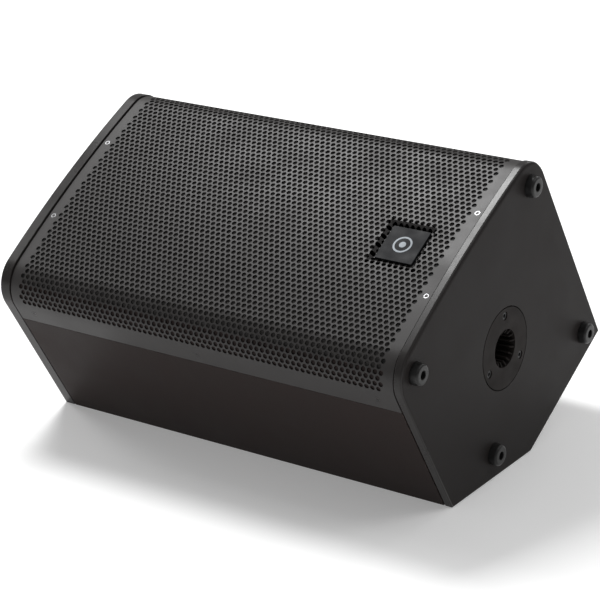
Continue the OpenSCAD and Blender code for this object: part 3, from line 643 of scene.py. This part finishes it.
def make_end_panel(name, node, side, lip):
    """The outside of an end panel, proud of the grille, joined to its rebated inner part."""
    outer = LIP_X + lip
    places = rim_places()

    def ring(bm, x_of, inset_of):
        points = []
        for s in places:
            (y, z), (ny, nz) = front_at(s)
            t = inset_of(rim_round(s))
            points.append((x_of(rim_round(s)), y - t * ny, z - t * nz + PROUD))
        for i in range(3):
            points.append((x_of(REAR_ROUND), *rear_point(i, inset_of(REAR_ROUND))))
        return [bm.verts.new((side * x, y, z)) for x, y, z in points]

    bm = bmesh.new()
    rings = [ring(bm, lambda w: LIP_X, lambda w: GROOVE_EDGE),
             ring(bm, lambda w: LIP_X + GROOVE_EDGE, lambda w: 0.0)]
    for j in range(ROUND_STEPS + 1):
        a = math.pi / 2 * j / ROUND_STEPS
        rings.append(ring(bm, lambda w: outer - min(w, END_EDGE) * (1 - math.sin(a)),
                          lambda w: w * (1 - math.cos(a))))
    add_skin(bm, rings)
    panel = finish_piece(name, to_mesh(bm, name), node, 30)

    plug = [(BOARD, -FLANGE_H - SEAM / 2), (BOARD, CORNER_Z + BOARD)]
    plug += [(y - UNDER_SHEET * ny, z - UNDER_SHEET * nz) for (y, z), (ny, nz) in map(front_at, places)
             if BOARD + 1 < y < CAB_W - BOARD - 1]
    plug += [(CAB_W - BOARD, CORNER_Z + BOARD)] + [rear_point(i, BOARD) for i in range(3)]
    bm = bmesh.new()
    depths = (LIP_X - END_REBATE, LIP_X + PLUG_OVERLAP)
    add_skin(bm, [[bm.verts.new((side * x, y, z)) for y, z in plug] for x in depths])
    join_solids(panel, [to_mesh(bm, name + "_plug")], "UNION")
    panel.data.materials.append(end_rim)
    for face in panel.data.polygons:
        if abs(face.normal.x) < RIM_TURN:
            face.material_index = 1
    return panel


def join_solids(obj, meshes, operation):
    """Applies exact booleans with each mesh in turn."""
    for mesh in meshes:
        tool = bpy.data.objects.new("tool", mesh)
        bpy.context.scene.collection.objects.link(tool)
        boolean = obj.modifiers.new("cut", "BOOLEAN")
        boolean.operation = operation
        boolean.solver = "EXACT"
        boolean.object = tool
        done = bpy.data.meshes.new_from_object(obj.evaluated_get(bpy.context.evaluated_depsgraph_get()))
        obj.modifiers.remove(boolean)
        obj.data = done
        bpy.data.objects.remove(tool)
    obj.data.shade_smooth()
    obj.data.set_sharp_from_angle(angle=math.radians(30))


SEAT_PLAY = 0.8
SEAT_DEPTH = 6
SEAT_LEAD = 0.7
CUTTER_DOWN = 20
CUTTER_UP = 2


def socket_recess():
    """Cutter for the pole socket's seat and the hole through the bottom end panel."""
    bm = bmesh.new()
    seat = CUP_FLANGE_D / 2 + SEAT_PLAY
    add_lathe(bm, [(CUP_HOLE_R, -CUTTER_DOWN), (CUP_HOLE_R, -SEAT_DEPTH), (seat, -SEAT_DEPTH),
                   (seat, -SEAT_LEAD), (seat + SEAT_LEAD, 0.05), (seat + SEAT_LEAD, CUTTER_UP)], 96)
    return to_mesh(bm, "socket_recess", on_end(POLE_AT))


make_end_panel("end_panel_top_rounded", "end_panel_top", -1, TOP_LIP)
bottom = make_end_panel("end_panel_bottom_rounded", "end_panel_bottom", 1, END_LIP)
join_solids(bottom, [socket_recess()], "DIFFERENCE")


# ---- boards, and moulded and machined pieces, with their edges rounded ----
EDGE_WIDTHS = {
    "amp_frame": 0.6, "side_board_lower": 0.7, "side_board_upper": 0.7, "floor_board": 0.7,
    "back_board": 0.7, "pole_socket": 0.35, "handle_cup": 0.8, "amp_panel": 0.5, "amp_heatsink": 0.35,
    "input_jacks": 0.3, "output_jack": 0.3, "mains_inlet": 0.35, "rocker_housing": 0.3,
    "power_rocker": 0.5, "mode_button": 0.4, "low_cut_button": 0.4, "input_latch_1": 0.3,
    "input_latch_2": 0.3, "woofer_basket": 0.6, "gain_knob_1": 0.35, "gain_knob_2": 0.35,
    "indicator_lights": 0.5, "countersunk_screws": 0.2, "pole_socket_screws": 0.25, "foot_screws": 0.25}
for node_name, width in EDGE_WIDTHS.items():
    soften(node_name, width)


# ---- badge ----
BADGE_CORNER = 1.5
BADGE_EDGE = 0.6
RING_OUT = 12.5
RING_IN = 10.0
DOT_R = 4.5
MARK_SUNK = 0.2
MARK_WALL = 0.3
MARK_TOP = 0.4
MARK_EDGE = 0.3


def make_badge():
    """The badge's plate, and a plain raised ring and dot on it."""
    bm = bmesh.new()
    face = BOW - POCKET_H + BADGE_T
    add_prism(bm, round_rect(BADGE_W, BADGE_W, BADGE_CORNER), BOW - POCKET_H, face, BADGE_EDGE)
    place = TO_ROW @ Matrix.Translation((BADGE_X, MID, 0))
    finish_piece("badge_plate", to_mesh(bm, "badge_plate", place), "badge", 30)
    bm = bmesh.new()
    low, wall, top = face - MARK_SUNK, face + MARK_WALL, face + MARK_TOP
    add_lathe(bm, [(RING_IN, low), (RING_OUT, low), (RING_OUT, wall), (RING_OUT - MARK_EDGE, top),
                   (RING_IN + MARK_EDGE, top), (RING_IN, wall), (RING_IN, low)], 64)
    add_lathe(bm, [(0, low), (DOT_R, low), (DOT_R, wall), (DOT_R - MARK_EDGE, top), (0, top)], 40)
    bmesh.ops.remove_doubles(bm, verts=bm.verts, dist=WELD_DIST)
    finish_piece("badge_mark", to_mesh(bm, "badge_mark", place), "badge", 30, badge_mark, stands_for=False)


make_badge()


# ---- feet ----
FOOT_R = FOOT_D / 2
FOOT_ROUND = 3.4
FOOT_TAPER = 0.8
FOOT_STEPS = 6


def make_feet():
    """Turned rubber feet with a rounded rim and a well for the screw."""
    rim = [(FOOT_R - FOOT_TAPER - FOOT_ROUND * (1 - math.cos(a)), FOOT_H - FOOT_ROUND * (1 - math.sin(a)))
           for a in (math.pi / 2 * k / FOOT_STEPS for k in range(FOOT_STEPS + 1))]
    well = [(5.9, FOOT_H), (5.3, FOOT_H - 0.6), (5.2, 4.0), (2.1, 4.0), (2.1, 0)]
    bm = bmesh.new()
    for at in FEET_AT:
        place = TO_ROW.inverted() @ on_end(at)
        profile = [(FOOT_R - 0.3, 0), (FOOT_R, 0.5), (FOOT_R - 0.2, 2.2)] + rim + well
        add_lathe(bm, profile + [profile[0]], 56, place)
    bmesh.ops.remove_doubles(bm, verts=bm.verts, dist=WELD_DIST)
    finish_piece("rubber_feet_turned", to_mesh(bm, "rubber_feet_turned"), "rubber_feet", 40)


make_feet()


# ---- screws that hold the grille ----
END_SCREW_Y = 67.0
SIDE_SCREW_X = (-263.0, 0.0, 263.0)
SIDE_SCREW_Z = -47.4
END_SCREW_IN = 8.2
SCREW_SIDES = 28


def make_grille_screws():
    """Countersunk heads with a rounded edge and a deep drive recess, whose floor carries near-black
    painted shade.
    """
    lean = math.asin(END_SCREW_Y / BOW_R)
    places = []
    for x in (LIP_X - END_SCREW_IN, END_SCREW_IN - LIP_X):
        for side in (-1, 1):
            at = Matrix.Translation((x, MID + side * END_SCREW_Y, BOW_C[1] + BOW_R * math.cos(lean)))
            places.append(TO_ROW @ at @ Matrix.Rotation(-side * lean, 4, "X"))
    for x in SIDE_SCREW_X:
        places += [on_lower_side(x, SIDE_SCREW_Z), on_upper_side(x, SIDE_SCREW_Z)]
    outside = [(0, -12), (1.8, -12), (1.8, -2.2), (3.55, -0.3), (3.5, -0.1), (3.2, 0), (2.3, 0),
               (2.1, -0.15)]
    recess = [(1.6, -1.5), (0, -1.5)]
    bm = bmesh.new()
    for place in places:
        add_lathe(bm, outside + recess, SCREW_SIDES, TO_ROW.inverted() @ place)
    mesh = to_mesh(bm, "grille_screw_heads")
    screws = finish_piece("grille_screw_heads", mesh, "grille_screws", 40)
    # the drive recess faces of each head get the near-black painted shade
    screws.data.materials.append(recess_painted_shade)
    bright = SCREW_SIDES * (len(outside) - 1)
    one_screw = bright + SCREW_SIDES * len(recess)
    for k, face in enumerate(mesh.polygons):
        face.material_index = int(k % one_screw >= bright)


make_grille_screws()


# ---- handle ----
GRIP_R = 12.0
GRIP_RIB = 4.0
GRIP_DOWN = 4      # the bar's top lies this far below the upper side
GRIP_PLAIN = 17    # plain length at each end
BAR_R = 8


def make_grip():
    """A moulded rubber grip with a rib every few millimetres."""
    reach = HANDLE_L / 2
    ribbed = 2 * reach - 2 * GRIP_PLAIN
    profile = [(0, -reach), (BAR_R - 0.4, -reach), (BAR_R, 0.4 - reach), (BAR_R, 9 - reach),
               (GRIP_R - 0.4, 15 - reach)]
    ribs = int(ribbed / GRIP_RIB)
    for k in range(ribs):
        z = GRIP_PLAIN - reach + k * ribbed / ribs
        profile += [(GRIP_R - 0.7, z), (GRIP_R - 0.1, z + 0.5), (GRIP_R, z + 1.4), (GRIP_R - 0.1, z + 2.4),
                    (GRIP_R - 0.7, z + 2.9)]
    profile += [(GRIP_R - 0.4, reach - 15), (BAR_R, reach - 9), (BAR_R, reach - 0.4),
                (BAR_R - 0.4, reach), (0, reach)]
    bm = bmesh.new()
    middle = on_upper_side(*HANDLE_AT) @ Matrix.Translation((0, 0, -GRIP_R - GRIP_DOWN))
    along = middle @ Matrix.Rotation(math.pi / 2, 4, "Y")
    add_lathe(bm, profile, 40, TO_ROW.inverted() @ along)
    finish_piece("handle_grip_ribbed", to_mesh(bm, "handle_grip_ribbed"), "handle_grip", 50)


make_grip()


# ---- amplifier panel: printed marks, knob pointers, contacts ----
KNOB_AT = ((74.0, 42.0), (74.0, 2.0))
JACK_AT = ((30.0, 42.0), (30.0, 2.0))
BUTTON_AT = ((74.0, -30.0), (74.0, -48.0))
PRINT_T = 0.12
TICKS = 11
TICK_START = -60
TICK_STEP = 30
TICK_IN = 10.4
TICK_SHORT = 12.4
TICK_LONG = 13.2
ARROW_X = 58
ARROW_L = 13
ARROW_HEAD = (3, 2.5)
DIVIDER_X = (13, 106)
DIVIDER_Y = (62, 22, -19)
BUTTON_LINE = 6
CONTACT_R = 5.8
POINTER_Z = (11.1, 11.7)
POINTER_OUT = 5


def add_line(bm, a, b, width, z0=0.0, z1=PRINT_T):
    """A straight printed line from a to b."""
    length, turn = math.hypot(b[0] - a[0], b[1] - a[1]), math.atan2(b[1] - a[1], b[0] - a[0])
    place = Matrix.Translation(((a[0] + b[0]) / 2, (a[1] + b[1]) / 2, 0)) @ Matrix.Rotation(turn, 4, "Z")
    add_prism(bm, round_rect(length, width, width * 0.4, 2), z0, z1, 0.0, place)


def make_panel_print():
    """Dial ticks, arrows, dividers and the lines round the buttons."""
    bm = bmesh.new()
    for x, y in KNOB_AT:
        for k in range(TICKS):
            a = math.radians(TICK_START + TICK_STEP * k)
            reach = TICK_LONG if k % 5 == 0 else TICK_SHORT
            ends = [(x + r * math.cos(a), y + r * math.sin(a)) for r in (TICK_IN, reach)]
            add_line(bm, *ends, 0.7)
        back, wide = ARROW_HEAD
        for tail in ((ARROW_X - ARROW_L, y), (ARROW_X - back, y + wide), (ARROW_X - back, y - wide)):
            add_line(bm, tail, (ARROW_X, y), 0.8)
    for y in DIVIDER_Y:
        add_line(bm, (DIVIDER_X[0], y), (DIVIDER_X[1], y), 0.6)
    for x, y in BUTTON_AT:
        for up in (-BUTTON_LINE, BUTTON_LINE):
            add_line(bm, (x - BUTTON_LINE, y + up), (x + BUTTON_LINE, y + up), 0.5)
    bm.transform(TO_ROW.inverted() @ on_panel(0, 0))
    finish_piece("panel_print", to_mesh(bm, "panel_print"), "amp_panel", 30, print_white, stands_for=False)


def make_knob_pointers():
    """White lines that ride on the knobs."""
    for k, at in enumerate(KNOB_AT, 1):
        bm = bmesh.new()
        outline = round_rect(1.0, 4.1, 0.3, 2)
        add_prism(bm, outline, *POINTER_Z, 0.1, Matrix.Translation((0, POINTER_OUT, 0)))
        name = f"gain_knob_{k}_pointer"
        mesh = to_mesh(bm, name, on_panel(*at))
        finish_piece(name, mesh, f"gain_knob_{k}", 30, print_white, stands_for=False)


def make_contacts():
    """Sprung sleeves in the input jacks' three holes."""
    sleeve = [(0.7, -8), (1.15, -8), (1.15, 0.6), (1.0, 0.8), (0.75, 0.7), (0.7, -8)]
    bm = bmesh.new()
    for x, y in JACK_AT:
        for turn in (90, 210, 330):
            a = math.radians(turn)
            place = Matrix.Translation((x + CONTACT_R * math.cos(a), y + CONTACT_R * math.sin(a), 0))
            add_lathe(bm, sleeve, 16, place)
    bmesh.ops.remove_doubles(bm, verts=bm.verts, dist=WELD_DIST)
    bm.transform(TO_ROW.inverted() @ on_panel(0, 0))
    finish_piece("input_contacts", to_mesh(bm, "input_contacts"), "panel_contacts", 40, stands_for=False)


make_panel_print()
make_knob_pointers()
make_contacts()


# ---- foam behind the grille and wadding inside ----
def make_soft_sheet(node, name, cell_mm, swell_mm, swell_size_mm):
    """A soft CAD solid cut into small cells, whose surface then sinks unevenly between high spots."""
    bm = bmesh.new()
    bm.from_mesh(frame["nodes"][node].data)
    bmesh.ops.remove_doubles(bm, verts=bm.verts, dist=WELD_NODE)
    bmesh.ops.dissolve_limit(bm, angle_limit=math.radians(1), verts=bm.verts, edges=bm.edges)
    low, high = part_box(node)
    for axis in range(3):
        normal = Vector((axis == 0, axis == 1, axis == 2))
        cuts = int((high[axis] - low[axis]) / (cell_mm * MM))
        for k in range(1, cuts):
            geometry = bm.verts[:] + bm.edges[:] + bm.faces[:]
            place = normal * (low[axis] + (high[axis] - low[axis]) * k / cuts)
            bmesh.ops.bisect_plane(bm, geom=geometry, plane_co=place, plane_no=normal, dist=1e-6)
    bm.normal_update()
    for v in bm.verts:
        sink = noise.noise(v.co / (swell_size_mm * MM)) * 0.5 + 0.5
        v.co -= v.normal * sink * swell_mm * MM
    obj = finish_piece(name, to_mesh(bm, name, Matrix()), node, 60)


make_soft_sheet("grille_foam", "grille_foam_sheet", 9, 0.5, 14)
make_soft_sheet("damping_wadding", "damping_wadding_sheet", 14, 5, 40)


# The strips at the bends: how far round the corner they start, how far past it they end, their depth
# behind the sheet's outer face, how far they stop short of the perforation, and their steps.
EDGE_START = 0.3
EDGE_PAST = 14
EDGE_DEPTHS = (2.2, 4.6)
EDGE_SHORT = 4
EDGE_STEPS = 12
ALONG_X = Matrix(((0, 0, 1, 0), (1, 0, 0, 0), (0, 1, 0, 0), (0, 0, 0, 1)))  # (y, z) outline, drawn along X


def make_foam_edges():
    """Foam strips that carry the sheet round both bends."""
    bm = bmesh.new()
    start, end = FLAT_L + EDGE_START * CORNER_L, FLAT_L + CORNER_L + EDGE_PAST
    for far in (False, True):
        path = [start + (end - start) * k / EDGE_STEPS for k in range(EDGE_STEPS + 1)]
        outline = []
        for depth, line in zip(EDGE_DEPTHS, (path, path[::-1])):
            for s in line:
                (y, z), (ny, nz) = front_at(SHEET_L - s if far else s)
                outline.append((y - depth * ny, z - depth * nz))
        add_prism(bm, outline, -PERF_X + EDGE_SHORT, PERF_X - EDGE_SHORT, matrix=ALONG_X)
    mesh = to_mesh(bm, "grille_foam_edges")
    edges = finish_piece("grille_foam_edges", mesh, "grille_foam", 60, stands_for=False)


make_foam_edges()


# ---- stage, camera and light ----
FLOOR_SIZE = 6
FLOOR_GLOW = 0.22
CAMERA_AT = (1.6168, -2.2270, 1.2462)
CAMERA_AZIMUTH = math.radians(36.03)
CAMERA_DOWN = math.radians(20.64)
CAMERA_ROLL = math.radians(-1.99)
CAMERA_LENS = 138.0
CAMERA_SHIFT = (0.0243, -0.0392)
SKY = 0.3


def make_stage():
    """A white floor that glows a little, so that it reads as white as the paper behind it."""
    bm = bmesh.new()
    bmesh.ops.create_grid(bm, x_segments=2, y_segments=2, size=FLOOR_SIZE)
    mesh = bpy.data.meshes.new("floor")
    bm.to_mesh(mesh)
    bm.free()
    floor = bpy.data.objects.new("floor", mesh)
    bpy.context.scene.collection.objects.link(floor)
    paper = Surface("floor_paper", (0.92, 0.92, 0.92), 0.9, specular=0.1)
    paper.shader.inputs["Emission Color"].default_value = (1, 1, 1, 1)
    paper.shader.inputs["Emission Strength"].default_value = FLOOR_GLOW
    paper.rough_from(paper.noise(300, 2, 0.5), 0.03)
    mesh.materials.append(paper.done())


def make_camera():
    """The long-lens view from the front right, slightly rolled, with the front's far end to the left."""
    camera = bpy.data.objects.new("camera", bpy.data.cameras.new("camera"))
    bpy.context.scene.collection.objects.link(camera)
    level = math.cos(CAMERA_DOWN)
    forward = Vector((-math.sin(CAMERA_AZIMUTH) * level, math.cos(CAMERA_AZIMUTH) * level,
                      -math.sin(CAMERA_DOWN)))
    turn = forward.to_track_quat("-Z", "Y").to_matrix().to_4x4() @ Matrix.Rotation(CAMERA_ROLL, 4, "Z")
    camera.matrix_world = Matrix.Translation(CAMERA_AT) @ turn
    camera.data.lens = CAMERA_LENS
    camera.data.shift_x, camera.data.shift_y = CAMERA_SHIFT
    bpy.context.scene.camera = camera


def add_light(name, position, target, size, power):
    """A white rectangular area light at a position, turned to a target."""
    data = bpy.data.lights.new(name, "AREA")
    data.shape = "RECTANGLE"
    data.size, data.size_y = size
    data.energy = power
    light = bpy.data.objects.new(name, data)
    light.location = position
    light.rotation_euler = (Vector(target) - Vector(position)).to_track_quat("-Z", "Y").to_euler()
    bpy.context.scene.collection.objects.link(light)


def make_lights():
    world = bpy.data.worlds.new("studio")
    world.use_nodes = True
    sky = world.node_tree.nodes["Background"]
    sky.inputs["Color"].default_value = (1, 1, 1, 1)
    sky.inputs["Strength"].default_value = SKY
    bpy.context.scene.world = world
    add_light("key", (-1.75, 0.85, 3.9), (0, 0, 0.2), (1.3, 1.3), 135)
    add_light("strip", (-2.6, -0.2, 1.9), (-0.2, 0, 0.3), (0.5, 1.1), 16)
    add_light("fill", (1.5, 0.6, 2.0), (0.3, 0, 0.2), (1.0, 1.0), 8)
    add_light("back", (0.4, 2.8, 1.9), (0, 0, 0.2), (1.6, 1.0), 14)


make_stage()
make_camera()
make_lights()
bpy.context.scene.view_settings.view_transform = "Standard"
